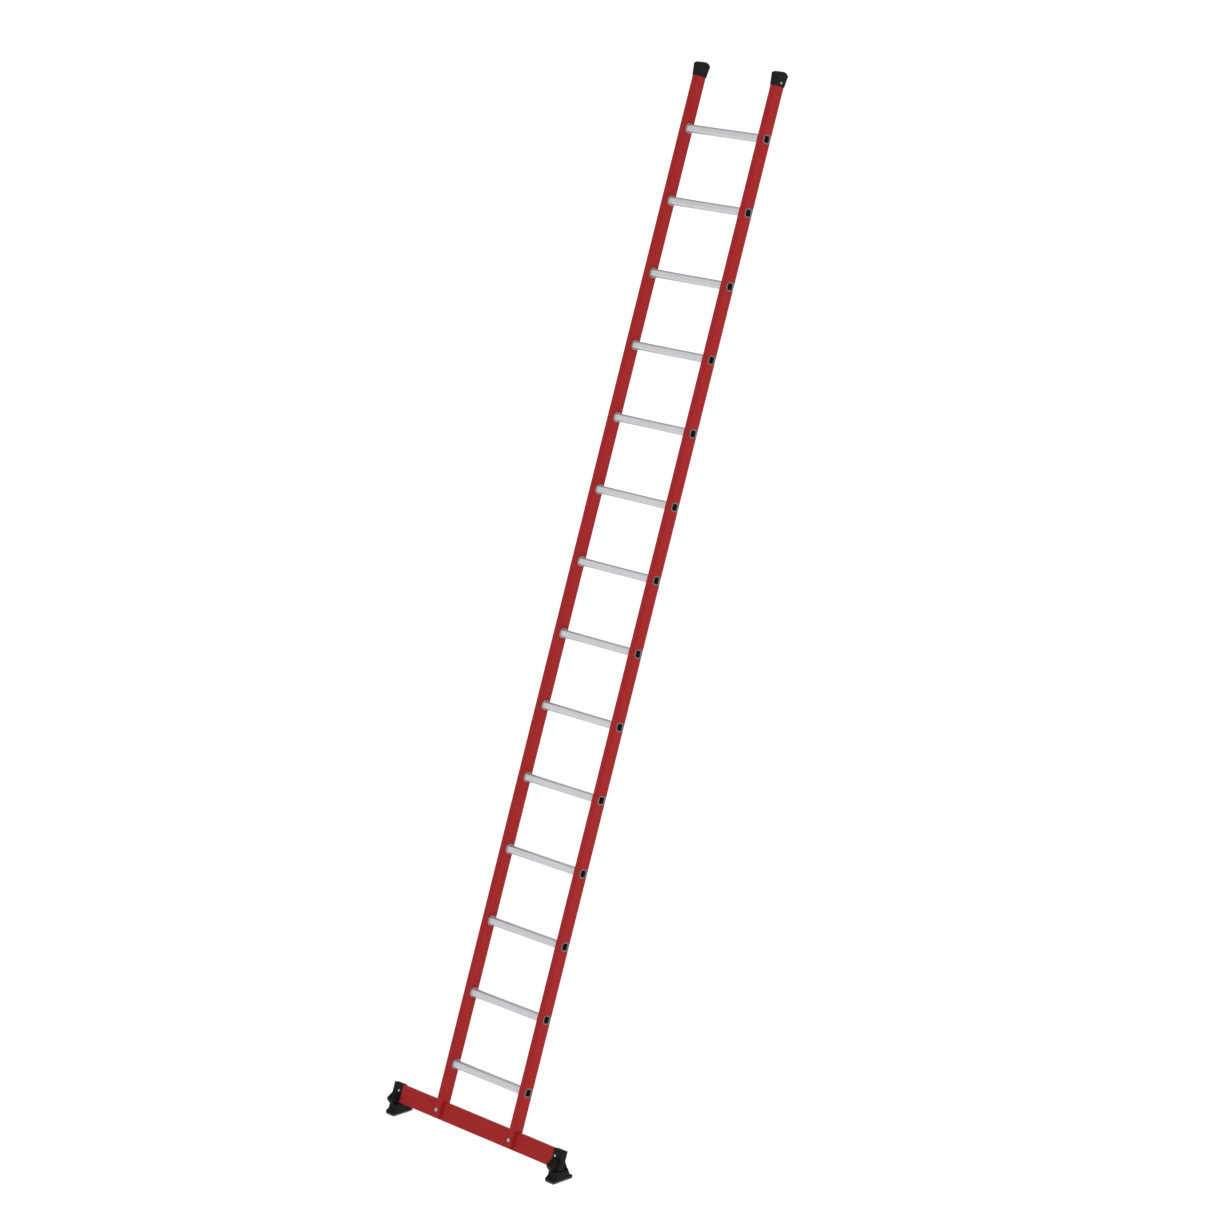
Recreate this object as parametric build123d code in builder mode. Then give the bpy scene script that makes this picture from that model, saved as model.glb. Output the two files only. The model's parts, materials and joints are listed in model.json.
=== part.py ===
from build123d import *
import os
from math import cos, radians, sin

# A single-section leaning ladder: two hollow fibreglass stiles, fourteen square aluminium rungs, a
# stabiliser bar across the bottom, and a foot at each end of the bar that tilts on two axes.
#
# Every piece is drawn in the ladder's own axes, in millimetres: X runs along the rungs, Y points from
# the climbing side to the back, and Z runs up the stiles. Zero is the middle of the lowest rung. At the
# end all pieces are leaned back together, so that the soles stand level on the floor at Z = 0 and the
# origin is the middle of the footprint of the whole ladder.

# --- the ladder as a whole -------------------------------------------------------------------------
LEAN = 19.4  # degrees that the stiles lean back from upright
RUNG_COUNT = 14
RUNG_PITCH = 280.0
LADDER_WIDTH = 440.0  # over the outer faces of the stiles
SNUG = 0.1  # gap all round between fixed pieces that slide together

# --- stiles ----------------------------------------------------------------------------------------
STILE_WIDTH = 30.0
STILE_DEPTH = 45.0
STILE_WALL = 3.0
STILE_CORNER = 3.0
INNER_CORNER = 1.0
STILE_FOOT_Z = -213.0
STILE_TOP_Z = 3872.0
STILE_X = (LADDER_WIDTH - STILE_WIDTH) / 2

# --- rungs -----------------------------------------------------------------------------------------
RUNG_SIZE = 30.0
RUNG_WALL = 2.5
RUNG_CORNER = 8.0
GRIP_GROOVE_WIDTH = 1.6
GRIP_GROOVE_DEPTH = 0.7
GRIP_GROOVE_SPACING = 3.2
GRIP_GROOVE_COUNT = 5
FLARE_SIZE = 35.5  # flared rim outside each stile
FLARE_CORNER = 11.0
FLARE_THICKNESS = 1.6
FLARE_ROUND = 1.0
FLARE_CHAMFER = 1.2
BEAD_SIZE = 38.0  # pressed bead inside each stile
BEAD_CORNER = 12.5
BEAD_THICKNESS = 3.2
BEAD_ROUND = 1.2

# --- stabiliser bar --------------------------------------------------------------------------------
BAR_Z = -185.0
BAR_LENGTH = 940.0
BAR_DEPTH = 20.0
BAR_HEIGHT = 70.0
BAR_WALL = 3.0
BAR_CORNER = 2.0

# --- bolts through the stiles and the bar ----------------------------------------------------------
BOLT_RADIUS = 4.0
BOLT_FLATS = 13.0
BOLT_HEAD_HEIGHT = 5.3
BOLT_TAIL = 3.0  # thread that stands past the nut
NUT_HEIGHT = 8.0
NUT_FIT = 0.02
HEX_CHAMFER = 0.7
WASHER_RADIUS = 8.0
WASHER_THICKNESS = 1.6
BOLT_CLEARANCE = 0.2
SLEEVE_RADIUS = 6.0
BOLT_Z = -186.0

# --- blind rivets ----------------------------------------------------------------------------------
RIVET_RADIUS = 2.4
RIVET_HEAD_RADIUS = 5.5
RIVET_HEAD_HEIGHT = 1.7
RIVET_DOME = 1.4
RIVET_DIMPLE_RADIUS = 1.0
RIVET_BULB_RADIUS = 3.3
RIVET_BULB_LENGTH = 3.0

# --- top caps --------------------------------------------------------------------------------------
CAP_Z = 3840.0
CAP_HEIGHT = 56.0
CAP_WALL = 1.5
CAP_FLARE = 4.2  # how far each side of the cap leans out by its crown
CAP_ARCH_RADIUS = 38.0
CAP_CORNER = 4.0
CAP_EDGE = 2.5
CAP_RIVET_Z = 3854.0
CAP_SPOT_RADIUS = 6.4  # flat seat round each rivet on the sloping outer face

# --- foot sockets on the ends of the bar -----------------------------------------------------------
SOCKET_INNER_X = 428.5
SOCKET_OUTER_X = 477.0
SOCKET_DEPTH = 25.0
SOCKET_HEIGHT = 75.0
SOCKET_EDGE = 1.5
CORE_GAP = 0.2
SOCKET_RIVET_X = 442.5
SOCKET_RIVET_Z = -175.5
FOOT_X = (SOCKET_INNER_X + SOCKET_OUTER_X) / 2
FOOT_WIDTH = SOCKET_OUTER_X - SOCKET_INNER_X

# --- rolling saddles -------------------------------------------------------------------------------
SADDLE_RADIUS = 52.0  # arc that the shoe slides round, centred on the middle of the bar
SADDLE_TIP_ANGLE = 57.5
SADDLE_WIDTH = 26.0
SADDLE_ARM_TOP_Z = -184.0
SADDLE_ARM_THICKNESS = 6.7
SADDLE_ROUND = 2.5
SADDLE_GAP = 0.3  # between the parts of a foot that move past each other
SADDLE_FLOOR_Z = -224.9
ROLL_PIN_RADIUS = 4.0
ROLL_PIN_LENGTH = 62.0
ROLL_PIN_Z = -203.0
ROLL_PIN_CHAMFER = 0.6
ROLL_BORE_FIT = 0.06
GUIDE_RADIUS = 46.5
GUIDE_SLOT_WIDTH = 4.4
GUIDE_SLOT_ANGLE = 41.2
GUIDE_PIN_RADIUS = 2.0
GUIDE_PIN_ANGLE = 16.0
GUIDE_PIN_INSET = 1.0
GUIDE_PIN_COVER = 1.5  # shoe left standing over the outer end of each guide pin

# --- tilting shoes and soles -----------------------------------------------------------------------
PIVOT_HEIGHT = 80.0  # middle of the bar above the floor
CHEEK_RADIUS = 43.0
SHOE_TOP_HALF = 21.0
SHOE_TOP_DROP = 28.0
SHOE_NECK_HALF = 32.7
SHOE_NECK_DROP = 60.0
SHOE_TOE_HALF = 49.0
SHOE_TOE_DROP = 69.0
SHOE_NECK_ROUND = 14.0
SHOE_TOE_ROUND = 3.0
SHOE_CORNER = 5.0
SOLE_THICKNESS = 6.0
SOLE_INSET = 0.5
SOLE_GROOVE_WIDTH = 2.5
SOLE_GROOVE_DEPTH = 2.0
SOLE_GROOVE_SPACING = 10.5
SOLE_GROOVE_COUNT = 8
SCREW_RADIUS = 2.0
SCREW_HEAD_RADIUS = 3.7
SCREW_LENGTH = 14.0
SCREW_SPACING = 42.0
SCREW_RECESS = 2.4  # countersunk heads stay this far above the floor
SCREW_DRIVE_RADIUS = 1.5
SCREW_DRIVE_DEPTH = 1.2

rung_heights = [RUNG_PITCH * step for step in range(RUNG_COUNT)]
lean_sin = sin(radians(LEAN))
lean_cos = cos(radians(LEAN))


def shoe_side_plane(x):
    """Plane square to the rungs at the shoe's pivot, with its Y axis pointing truly up."""
    return Plane(origin=(x, 0, BAR_Z), x_dir=(0, lean_cos, lean_sin), z_dir=(1, 0, 0))


def floor_plane(x, height):
    """Level plane at a height above the floor, centred under the shoe's pivot."""
    drop = PIVOT_HEIGHT - height
    origin = (x, drop * lean_sin, BAR_Z - drop * lean_cos)
    return Plane(origin=origin, x_dir=(1, 0, 0), z_dir=(0, -lean_sin, lean_cos))


def screw_seats(x):
    """Planes at the heads of the two screws under a shoe, facing the floor."""
    level = floor_plane(x, SCREW_RECESS)
    places = [level.from_local_coords((0, end * SCREW_SPACING / 2, 0)) for end in (-1, 1)]
    return [Plane(origin=place, x_dir=(1, 0, 0), z_dir=-level.z_dir) for place in places]


# --- stiles and rungs ------------------------------------------------------------------------------
def make_stile(side):
    """Hollow box with a fork at its foot, a pair of holes for each rung, and fastener holes."""
    x = side * STILE_X
    inner = 2 * STILE_WALL
    rung_hole = RUNG_SIZE + 2 * SNUG
    fork_top = BAR_Z + BAR_HEIGHT / 2 + SNUG
    with BuildPart() as stile:
        with BuildSketch(Plane.XY.offset(STILE_FOOT_Z)):
            with Locations((x, 0)):
                RectangleRounded(STILE_WIDTH, STILE_DEPTH, STILE_CORNER)
                RectangleRounded(STILE_WIDTH - inner, STILE_DEPTH - inner, INNER_CORNER, mode=Mode.SUBTRACT)
        extrude(amount=STILE_TOP_Z - STILE_FOOT_Z)
        with BuildSketch(Plane.YZ.offset(x)):
            with Locations([(0, z) for z in rung_heights]):
                RectangleRounded(rung_hole, rung_hole, RUNG_CORNER + SNUG)
            with Locations((0, fork_top)):
                Rectangle(BAR_DEPTH + 2 * SNUG, BAR_HEIGHT, align=(Align.CENTER, Align.MAX))
        extrude(amount=STILE_WIDTH, both=True, mode=Mode.SUBTRACT)
        with BuildSketch(Plane.XZ):
            with Locations((x, BOLT_Z)):
                Circle(BOLT_RADIUS + BOLT_CLEARANCE)
        extrude(amount=STILE_DEPTH, both=True, mode=Mode.SUBTRACT)
        with BuildSketch(Plane.YZ.offset(x)):
            with Locations((0, CAP_RIVET_Z)):
                Circle(RIVET_RADIUS + SNUG)
        extrude(amount=side * STILE_WIDTH, mode=Mode.SUBTRACT)
    return stile.part


def make_rung():
    """Square tube with grip grooves, a bead inside each stile and a flared end outside it."""
    half = LADDER_WIDTH / 2
    bead_x = half - STILE_WIDTH - BEAD_THICKNESS
    bore = RUNG_SIZE - 2 * RUNG_WALL
    with BuildPart() as rung:
        with BuildSketch(Plane.YZ):
            RectangleRounded(RUNG_SIZE, RUNG_SIZE, RUNG_CORNER)
            for face in (-1, 1):
                with Locations((0, face * RUNG_SIZE / 2)):
                    with GridLocations(GRIP_GROOVE_SPACING, 0, GRIP_GROOVE_COUNT, 1):
                        Rectangle(GRIP_GROOVE_WIDTH, 2 * GRIP_GROOVE_DEPTH, mode=Mode.SUBTRACT)
        extrude(amount=half, both=True)
        for side in (-1, 1):
            with BuildSketch(Plane.YZ.offset(side * bead_x)):
                RectangleRounded(BEAD_SIZE, BEAD_SIZE, BEAD_CORNER)
            extrude(amount=side * BEAD_THICKNESS)
            bead_faces = rung.faces(Select.LAST).filter_by(Axis.X)
            fillet([edge for face in bead_faces for edge in face.outer_wire().edges()], BEAD_ROUND)
            with BuildSketch(Plane.YZ.offset(side * half)):
                RectangleRounded(FLARE_SIZE, FLARE_SIZE, FLARE_CORNER)
            extrude(amount=side * FLARE_THICKNESS)
            flare_face = rung.faces().sort_by(Axis.X)[-1 if side > 0 else 0]
            fillet(flare_face.edges(), FLARE_ROUND)
        with BuildSketch(Plane.YZ):
            RectangleRounded(bore, bore, RUNG_CORNER - RUNG_WALL)
        extrude(amount=LADDER_WIDTH, both=True, mode=Mode.SUBTRACT)
        ends = rung.faces().sort_by(Axis.X)
        mouths = [ends[0].inner_wires()[0], ends[-1].inner_wires()[0]]
        chamfer([edge for mouth in mouths for edge in mouth.edges()], FLARE_CHAMFER)
    return rung.part


# --- stabiliser bar and its bolts ------------------------------------------------------------------
def make_crossbar():
    """Hollow bar through the forks of both stiles, with holes for bolts, rivets and roll pins."""
    with BuildPart() as bar:
        with BuildSketch(Plane.YZ):
            with Locations((0, BAR_Z)):
                RectangleRounded(BAR_DEPTH, BAR_HEIGHT, BAR_CORNER)
                inner_depth = BAR_DEPTH - 2 * BAR_WALL
                inner_height = BAR_HEIGHT - 2 * BAR_WALL
                RectangleRounded(inner_depth, inner_height, INNER_CORNER, mode=Mode.SUBTRACT)
        extrude(amount=BAR_LENGTH / 2, both=True)
        with BuildSketch(Plane.XZ):
            for side in (-1, 1):
                with Locations((side * STILE_X, BOLT_Z)):
                    Circle(SLEEVE_RADIUS + SNUG)
                with Locations((side * SOCKET_RIVET_X, SOCKET_RIVET_Z)):
                    Circle(RIVET_RADIUS + SNUG)
                with Locations((side * FOOT_X, ROLL_PIN_Z)):
                    Circle(ROLL_PIN_RADIUS + 1)
        extrude(amount=BAR_DEPTH, both=True, mode=Mode.SUBTRACT)
    return bar.part


def make_bolts():
    """One hexagon bolt through each stile, with its head on the climbing side."""
    head_y = -STILE_DEPTH / 2 - WASHER_THICKNESS
    tail_y = STILE_DEPTH / 2 + WASHER_THICKNESS + NUT_HEIGHT + BOLT_TAIL
    with BuildPart() as bolts:
        with BuildSketch(Plane.XZ.offset(-head_y)):
            with Locations((-STILE_X, BOLT_Z), (STILE_X, BOLT_Z)):
                RegularPolygon(BOLT_FLATS / 2, 6, major_radius=False)
        extrude(amount=BOLT_HEAD_HEIGHT)
        chamfer(bolts.faces().group_by(Axis.Y)[0].edges(), HEX_CHAMFER)
        with BuildSketch(Plane.XZ.offset(-head_y)):
            with Locations((-STILE_X, BOLT_Z), (STILE_X, BOLT_Z)):
                Circle(BOLT_RADIUS)
        extrude(amount=head_y - tail_y)
        chamfer(bolts.faces().group_by(Axis.Y)[-1].edges(), HEX_CHAMFER)
    return bolts.part


def make_nuts():
    """One lock nut on the back of each stile."""
    nut_y = STILE_DEPTH / 2 + WASHER_THICKNESS
    with BuildPart() as nuts:
        with BuildSketch(Plane.XZ.offset(-nut_y)):
            with Locations((-STILE_X, BOLT_Z), (STILE_X, BOLT_Z)):
                RegularPolygon(BOLT_FLATS / 2, 6, major_radius=False)
        extrude(amount=-NUT_HEIGHT)
        chamfer(nuts.faces().group_by(Axis.Y)[-1].edges(), HEX_CHAMFER)
        with BuildSketch(Plane.XZ.offset(-nut_y)):
            with Locations((-STILE_X, BOLT_Z), (STILE_X, BOLT_Z)):
                Circle(BOLT_RADIUS + NUT_FIT)
        extrude(amount=-NUT_HEIGHT, mode=Mode.SUBTRACT)
    return nuts.part


def make_bolt_rings(outer_radius, spans):
    """Rings round both bolts, one at each span from a front Y to a back Y."""
    with BuildPart() as rings:
        for front_y, back_y in spans:
            with BuildSketch(Plane.XZ.offset(-front_y)):
                with Locations((-STILE_X, BOLT_Z), (STILE_X, BOLT_Z)):
                    Circle(outer_radius)
                    Circle(BOLT_RADIUS + BOLT_CLEARANCE, mode=Mode.SUBTRACT)
            extrude(amount=front_y - back_y)
    return rings.part


def make_rivets(faces, grip):
    """Blind rivets: a domed head on each face plane, a shank through the walls and a bulb behind them."""
    with BuildPart() as rivets:
        for face in faces:
            outward = Axis(face.origin, face.z_dir)
            with BuildSketch(face):
                Circle(RIVET_HEAD_RADIUS)
            extrude(amount=RIVET_HEAD_HEIGHT)
            crown = rivets.faces(Select.LAST).sort_by(outward)[-1]
            fillet(crown.edges(), RIVET_DOME)
            with BuildSketch(face.offset(RIVET_HEAD_HEIGHT)):
                Circle(RIVET_DIMPLE_RADIUS)
            extrude(amount=-RIVET_DIMPLE_RADIUS, mode=Mode.SUBTRACT)
            with BuildSketch(face):
                Circle(RIVET_RADIUS)
            extrude(amount=-grip)
            with BuildSketch(face.offset(-grip)):
                Circle(RIVET_BULB_RADIUS)
            extrude(amount=-RIVET_BULB_LENGTH)
    return rivets.part


# --- top caps --------------------------------------------------------------------------------------
def cap_rivet_x():
    """Distance from the ladder's middle to the flat seat of a cap rivet on the sloping outer face."""
    climb = CAP_RIVET_Z - CAP_SPOT_RADIUS - CAP_Z
    return LADDER_WIDTH / 2 + CAP_WALL + CAP_FLARE * climb / CAP_HEIGHT


def make_cap(side):
    """Sleeve over the top of a stile: its sides flare outwards and its crown is arched."""
    x = side * STILE_X
    width = STILE_WIDTH + 2 * CAP_WALL
    depth = STILE_DEPTH + 2 * CAP_WALL
    crown_z = CAP_Z + CAP_HEIGHT
    with BuildPart() as cap:
        with BuildSketch(Plane.XY.offset(CAP_Z)):
            with Locations((x, 0)):
                RectangleRounded(width, depth, CAP_CORNER)
        with BuildSketch(Plane.XY.offset(crown_z + 1)):
            with Locations((x, 0)):
                RectangleRounded(width + 2 * CAP_FLARE, depth + 2 * CAP_FLARE, CAP_CORNER)
        loft()
        with BuildSketch(Plane.YZ.offset(x)):
            with Locations((0, crown_z - CAP_ARCH_RADIUS)):
                Circle(CAP_ARCH_RADIUS)
        extrude(amount=width, both=True, mode=Mode.INTERSECT)
        crown = cap.faces().sort_by(Axis.Z)[-1]
        fillet(crown.edges(), CAP_EDGE)
        with BuildSketch(Plane.XY.offset(CAP_Z)):
            with Locations((x, 0)):
                cavity = (STILE_WIDTH + 2 * SNUG, STILE_DEPTH + 2 * SNUG)
                RectangleRounded(*cavity, STILE_CORNER + SNUG)
        extrude(amount=STILE_TOP_Z - CAP_Z, mode=Mode.SUBTRACT)
        with BuildSketch(Plane.YZ.offset(x)):
            with Locations((0, CAP_RIVET_Z)):
                Circle(RIVET_RADIUS + SNUG)
        extrude(amount=side * STILE_WIDTH, mode=Mode.SUBTRACT)
        with BuildSketch(Plane.YZ.offset(side * cap_rivet_x())):
            with Locations((0, CAP_RIVET_Z)):
                Circle(CAP_SPOT_RADIUS)
        extrude(amount=side * STILE_WIDTH, mode=Mode.SUBTRACT)
    return cap.part


# --- feet ------------------------------------------------------------------------------------------
def make_socket(side):
    """End cap of the bar: a sleeve round its outside and a solid core inside it."""
    core_depth = BAR_DEPTH - 2 * BAR_WALL - 2 * CORE_GAP
    core_height = BAR_HEIGHT - 2 * BAR_WALL - 2 * CORE_GAP
    mouth = Plane.YZ.offset(side * SOCKET_INNER_X)
    with BuildPart() as socket:
        with BuildSketch(mouth):
            with Locations((0, BAR_Z)):
                Rectangle(SOCKET_DEPTH, SOCKET_HEIGHT)
        extrude(amount=side * FOOT_WIDTH)
        fillet(socket.edges(), SOCKET_EDGE)
        with BuildSketch(mouth):
            with Locations((0, BAR_Z)):
                Rectangle(BAR_DEPTH + 2 * SNUG, BAR_HEIGHT + 2 * SNUG)
                RectangleRounded(core_depth, core_height, INNER_CORNER, mode=Mode.SUBTRACT)
        extrude(amount=side * (BAR_LENGTH / 2 - SOCKET_INNER_X), mode=Mode.SUBTRACT)
        with BuildSketch(Plane.XZ):
            with Locations((side * SOCKET_RIVET_X, SOCKET_RIVET_Z)):
                Circle(RIVET_RADIUS + SNUG)
            with Locations((side * FOOT_X, ROLL_PIN_Z)):
                Circle(ROLL_PIN_RADIUS + ROLL_BORE_FIT)
        extrude(amount=SOCKET_DEPTH, both=True, mode=Mode.SUBTRACT)
        with BuildSketch(Plane.XZ):
            with Locations((side * SOCKET_RIVET_X, SOCKET_RIVET_Z)):
                Circle(RIVET_BULB_RADIUS + CORE_GAP)
        extrude(amount=core_depth / 2, both=True, mode=Mode.SUBTRACT)
    return socket.part


def make_saddle(side):
    """Block that straddles the socket, rolls on its pin, and carries the shoe on its round underside."""
    tip_y = SADDLE_RADIUS * sin(radians(SADDLE_TIP_ANGLE))
    tip_z = BAR_Z - SADDLE_RADIUS * cos(radians(SADDLE_TIP_ANGLE))
    channel = SOCKET_DEPTH / 2 + SADDLE_GAP
    shoulder = channel + SADDLE_ARM_THICKNESS
    with BuildPart() as saddle:
        with BuildSketch(Plane.YZ.offset(side * FOOT_X)) as outline:
            with BuildLine():
                Polyline(
                    (-tip_y, tip_z),
                    (-shoulder, SADDLE_ARM_TOP_Z),
                    (-channel, SADDLE_ARM_TOP_Z),
                    (-channel, SADDLE_FLOOR_Z),
                    (channel, SADDLE_FLOOR_Z),
                    (channel, SADDLE_ARM_TOP_Z),
                    (shoulder, SADDLE_ARM_TOP_Z),
                    (tip_y, tip_z),
                )
                ThreePointArc((tip_y, tip_z), (0, BAR_Z - SADDLE_RADIUS), (-tip_y, tip_z))
            make_face()
            tips = outline.vertices().sort_by(Axis.X)
            fillet([tips[0], tips[-1]], SADDLE_ROUND)
            with BuildLine(mode=Mode.PRIVATE) as track:
                CenterArc((0, BAR_Z), GUIDE_RADIUS, -90 - GUIDE_SLOT_ANGLE, 2 * GUIDE_SLOT_ANGLE)
            SlotArc(track.edge(), GUIDE_SLOT_WIDTH, mode=Mode.SUBTRACT)
        extrude(amount=SADDLE_WIDTH / 2, both=True)
        with BuildSketch(Plane.XZ):
            with Locations((side * FOOT_X, ROLL_PIN_Z)):
                Circle(ROLL_PIN_RADIUS)
        extrude(amount=SADDLE_RADIUS, both=True, mode=Mode.SUBTRACT)
    return saddle.part


def make_roll_pin(side):
    """Pin that is pressed into the saddle's arms and turns in the socket."""
    with BuildPart() as pin:
        with BuildSketch(Plane.XZ):
            with Locations((side * FOOT_X, ROLL_PIN_Z)):
                Circle(ROLL_PIN_RADIUS)
        extrude(amount=ROLL_PIN_LENGTH / 2, both=True)
        chamfer(pin.edges().filter_by(GeomType.CIRCLE), ROLL_PIN_CHAMFER)
    return pin.part


def guide_pin_places():
    """Places of the two guide pins in the shoe's side plane."""
    across = GUIDE_RADIUS * sin(radians(GUIDE_PIN_ANGLE))
    down = GUIDE_RADIUS * cos(radians(GUIDE_PIN_ANGLE))
    return [(-across, -down), (across, -down)]


def make_shoe(side):
    """Shoe with two cheeks that clear the bar, and a round channel between them for the saddle."""
    side_plane = shoe_side_plane(side * FOOT_X)
    base_drop = PIVOT_HEIGHT - SOLE_THICKNESS
    with BuildPart() as shoe:
        with BuildSketch(side_plane) as outline:
            Polygon(
                (-SHOE_TOP_HALF, -SHOE_TOP_DROP),
                (SHOE_TOP_HALF, -SHOE_TOP_DROP),
                (SHOE_NECK_HALF, -SHOE_NECK_DROP),
                (SHOE_TOE_HALF, -SHOE_TOE_DROP),
                (SHOE_TOE_HALF, -base_drop),
                (-SHOE_TOE_HALF, -base_drop),
                (-SHOE_TOE_HALF, -SHOE_TOE_DROP),
                (-SHOE_NECK_HALF, -SHOE_NECK_DROP),
                align=None,
            )
            necks = outline.vertices().filter_by_position(Axis.Y, -SHOE_NECK_DROP - 1, -SHOE_NECK_DROP + 1)
            fillet(necks, SHOE_NECK_ROUND)
            toes = outline.vertices().filter_by_position(Axis.Y, -SHOE_TOE_DROP - 1, -SHOE_TOE_DROP + 1)
            fillet(toes, SHOE_TOE_ROUND)
            Circle(CHEEK_RADIUS, mode=Mode.SUBTRACT)
        extrude(amount=FOOT_WIDTH / 2, both=True)
        with BuildSketch(floor_plane(side * FOOT_X, SOLE_THICKNESS)):
            RectangleRounded(FOOT_WIDTH, 2 * SHOE_TOE_HALF, SHOE_CORNER)
        extrude(amount=PIVOT_HEIGHT, mode=Mode.INTERSECT)
        with BuildSketch(side_plane):
            Circle(SADDLE_RADIUS + SADDLE_GAP)
        extrude(amount=SADDLE_WIDTH / 2 + SADDLE_GAP, both=True, mode=Mode.SUBTRACT)
        with BuildSketch(shoe_side_plane(side * SOCKET_INNER_X)):
            with Locations(guide_pin_places()):
                Circle(GUIDE_PIN_RADIUS)
        extrude(amount=side * (FOOT_WIDTH - GUIDE_PIN_COVER), mode=Mode.SUBTRACT)
        with BuildSketch(*screw_seats(side * FOOT_X)):
            Circle(SCREW_RADIUS)
        extrude(amount=-SCREW_LENGTH, mode=Mode.SUBTRACT)
    return shoe.part


def make_guide_pins(side):
    """Two pins across the shoe that run in the saddle's curved slot and set how far the shoe tilts."""
    with BuildPart() as pins:
        with BuildSketch(shoe_side_plane(side * (SOCKET_INNER_X + GUIDE_PIN_INSET))):
            with Locations(guide_pin_places()):
                Circle(GUIDE_PIN_RADIUS)
        extrude(amount=side * (FOOT_WIDTH - GUIDE_PIN_INSET - GUIDE_PIN_COVER))
    return pins.part


def make_sole(side):
    """Rubber tread plate with grooves across it and recesses for the screws."""
    x = side * FOOT_X
    width = FOOT_WIDTH - 2 * SOLE_INSET
    length = 2 * (SHOE_TOE_HALF - SOLE_INSET)
    with BuildPart() as sole:
        with BuildSketch(floor_plane(x, 0)):
            RectangleRounded(width, length, SHOE_CORNER - SOLE_INSET)
        extrude(amount=SOLE_THICKNESS)
        with BuildSketch(floor_plane(x, 0)):
            with GridLocations(0, SOLE_GROOVE_SPACING, 1, SOLE_GROOVE_COUNT):
                Rectangle(FOOT_WIDTH, SOLE_GROOVE_WIDTH)
        extrude(amount=SOLE_GROOVE_DEPTH, mode=Mode.SUBTRACT)
        with Locations(*screw_seats(x)):
            CounterSinkHole(SCREW_RADIUS + SNUG, SCREW_HEAD_RADIUS + SNUG, counter_sink_angle=90)
    return sole.part


def make_sole_screws(side):
    """Two countersunk screws that hold a sole to its shoe."""
    seats = screw_seats(side * FOOT_X)
    down_the_hole = (Align.CENTER, Align.CENTER, Align.MAX)
    with BuildPart() as screws:
        with Locations(*seats):
            Cylinder(SCREW_RADIUS, SCREW_LENGTH, align=down_the_hole)
            Cone(SCREW_RADIUS, SCREW_HEAD_RADIUS, SCREW_HEAD_RADIUS - SCREW_RADIUS, align=down_the_hole)
        with BuildSketch(*seats):
            RegularPolygon(SCREW_DRIVE_RADIUS, 6)
        extrude(amount=-SCREW_DRIVE_DEPTH, mode=Mode.SUBTRACT)
    return screws.part


# --- the whole ladder ------------------------------------------------------------------------------
def cap_rivet_faces():
    """Flat seats of the cap rivets, facing outwards from each stile."""
    seat_x = cap_rivet_x()
    return [Plane(origin=(side * seat_x, 0, CAP_RIVET_Z), z_dir=(side, 0, 0)) for side in (-1, 1)]


def socket_rivet_faces():
    """Faces of the sockets under the rivets, front and back at both ends of the bar."""
    faces = []
    for side in (-1, 1):
        for front_or_back in (-1, 1):
            origin = (side * SOCKET_RIVET_X, front_or_back * SOCKET_DEPTH / 2, SOCKET_RIVET_Z)
            faces.append(Plane(origin=origin, z_dir=(0, front_or_back, 0)))
    return faces


def make_fixed_pieces():
    """Everything that has no left and right version."""
    stile_face = STILE_DEPTH / 2
    washer_face = stile_face + WASHER_THICKNESS
    sleeve_end = stile_face - STILE_WALL
    cap_grip = cap_rivet_x() - LADDER_WIDTH / 2 + STILE_WALL
    socket_grip = SOCKET_DEPTH / 2 - BAR_DEPTH / 2 + BAR_WALL
    return {
        "crossbar": make_crossbar(),
        "crossbar_bolts": make_bolts(),
        "bolt_washers": make_bolt_rings(
            WASHER_RADIUS, [(-washer_face, -stile_face), (stile_face, washer_face)]
        ),
        "bolt_nuts": make_nuts(),
        "spacer_sleeves": make_bolt_rings(SLEEVE_RADIUS, [(-sleeve_end, sleeve_end)]),
        "cap_rivets": make_rivets(cap_rivet_faces(), cap_grip),
        "socket_rivets": make_rivets(socket_rivet_faces(), socket_grip),
    }


def make_handed_pieces(name, side):
    """Everything that comes in a left and a right version."""
    return {
        f"stile_{name}": make_stile(side),
        f"top_cap_{name}": make_cap(side),
        f"foot_socket_{name}": make_socket(side),
        f"foot_saddle_{name}": make_saddle(side),
        f"roll_pin_{name}": make_roll_pin(side),
        f"shoe_{name}": make_shoe(side),
        f"guide_pins_{name}": make_guide_pins(side),
        f"sole_{name}": make_sole(side),
        f"sole_screws_{name}": make_sole_screws(side),
    }


def make_rungs():
    """The rungs, numbered from the lowest."""
    rung = make_rung()
    rungs = {}
    for number, height in enumerate(rung_heights, start=1):
        rungs[f"rung_{number:02}"] = rung.moved(Location((0, 0, height)))
    return rungs


def lean_back(pieces):
    """Lean the pieces back together, with the soles on Z = 0 and the footprint centred on the origin."""
    leaned = {node: piece.moved(Rotation(-LEAN, 0, 0)) for node, piece in pieces.items()}
    boxes = [piece.bounding_box() for piece in leaned.values()]
    middle_y = (min(box.min.Y for box in boxes) + max(box.max.Y for box in boxes)) / 2
    floor_z = min(box.min.Z for box in boxes)
    shift = Location((0, -middle_y, -floor_z))
    print(f"lowest rung's middle is at Y {-middle_y:.3f}, Z {-floor_z:.3f}")
    return {node: piece.moved(shift) for node, piece in leaned.items()}


def main():
    pieces = make_fixed_pieces()
    pieces.update(make_rungs())
    pieces.update(make_handed_pieces("left", -1))
    pieces.update(make_handed_pieces("right", 1))
    os.makedirs("parts", exist_ok=True)
    for node, piece in lean_back(pieces).items():
        piece.label = node
        export_step(piece, f"parts/{node}.step")


main()
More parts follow.
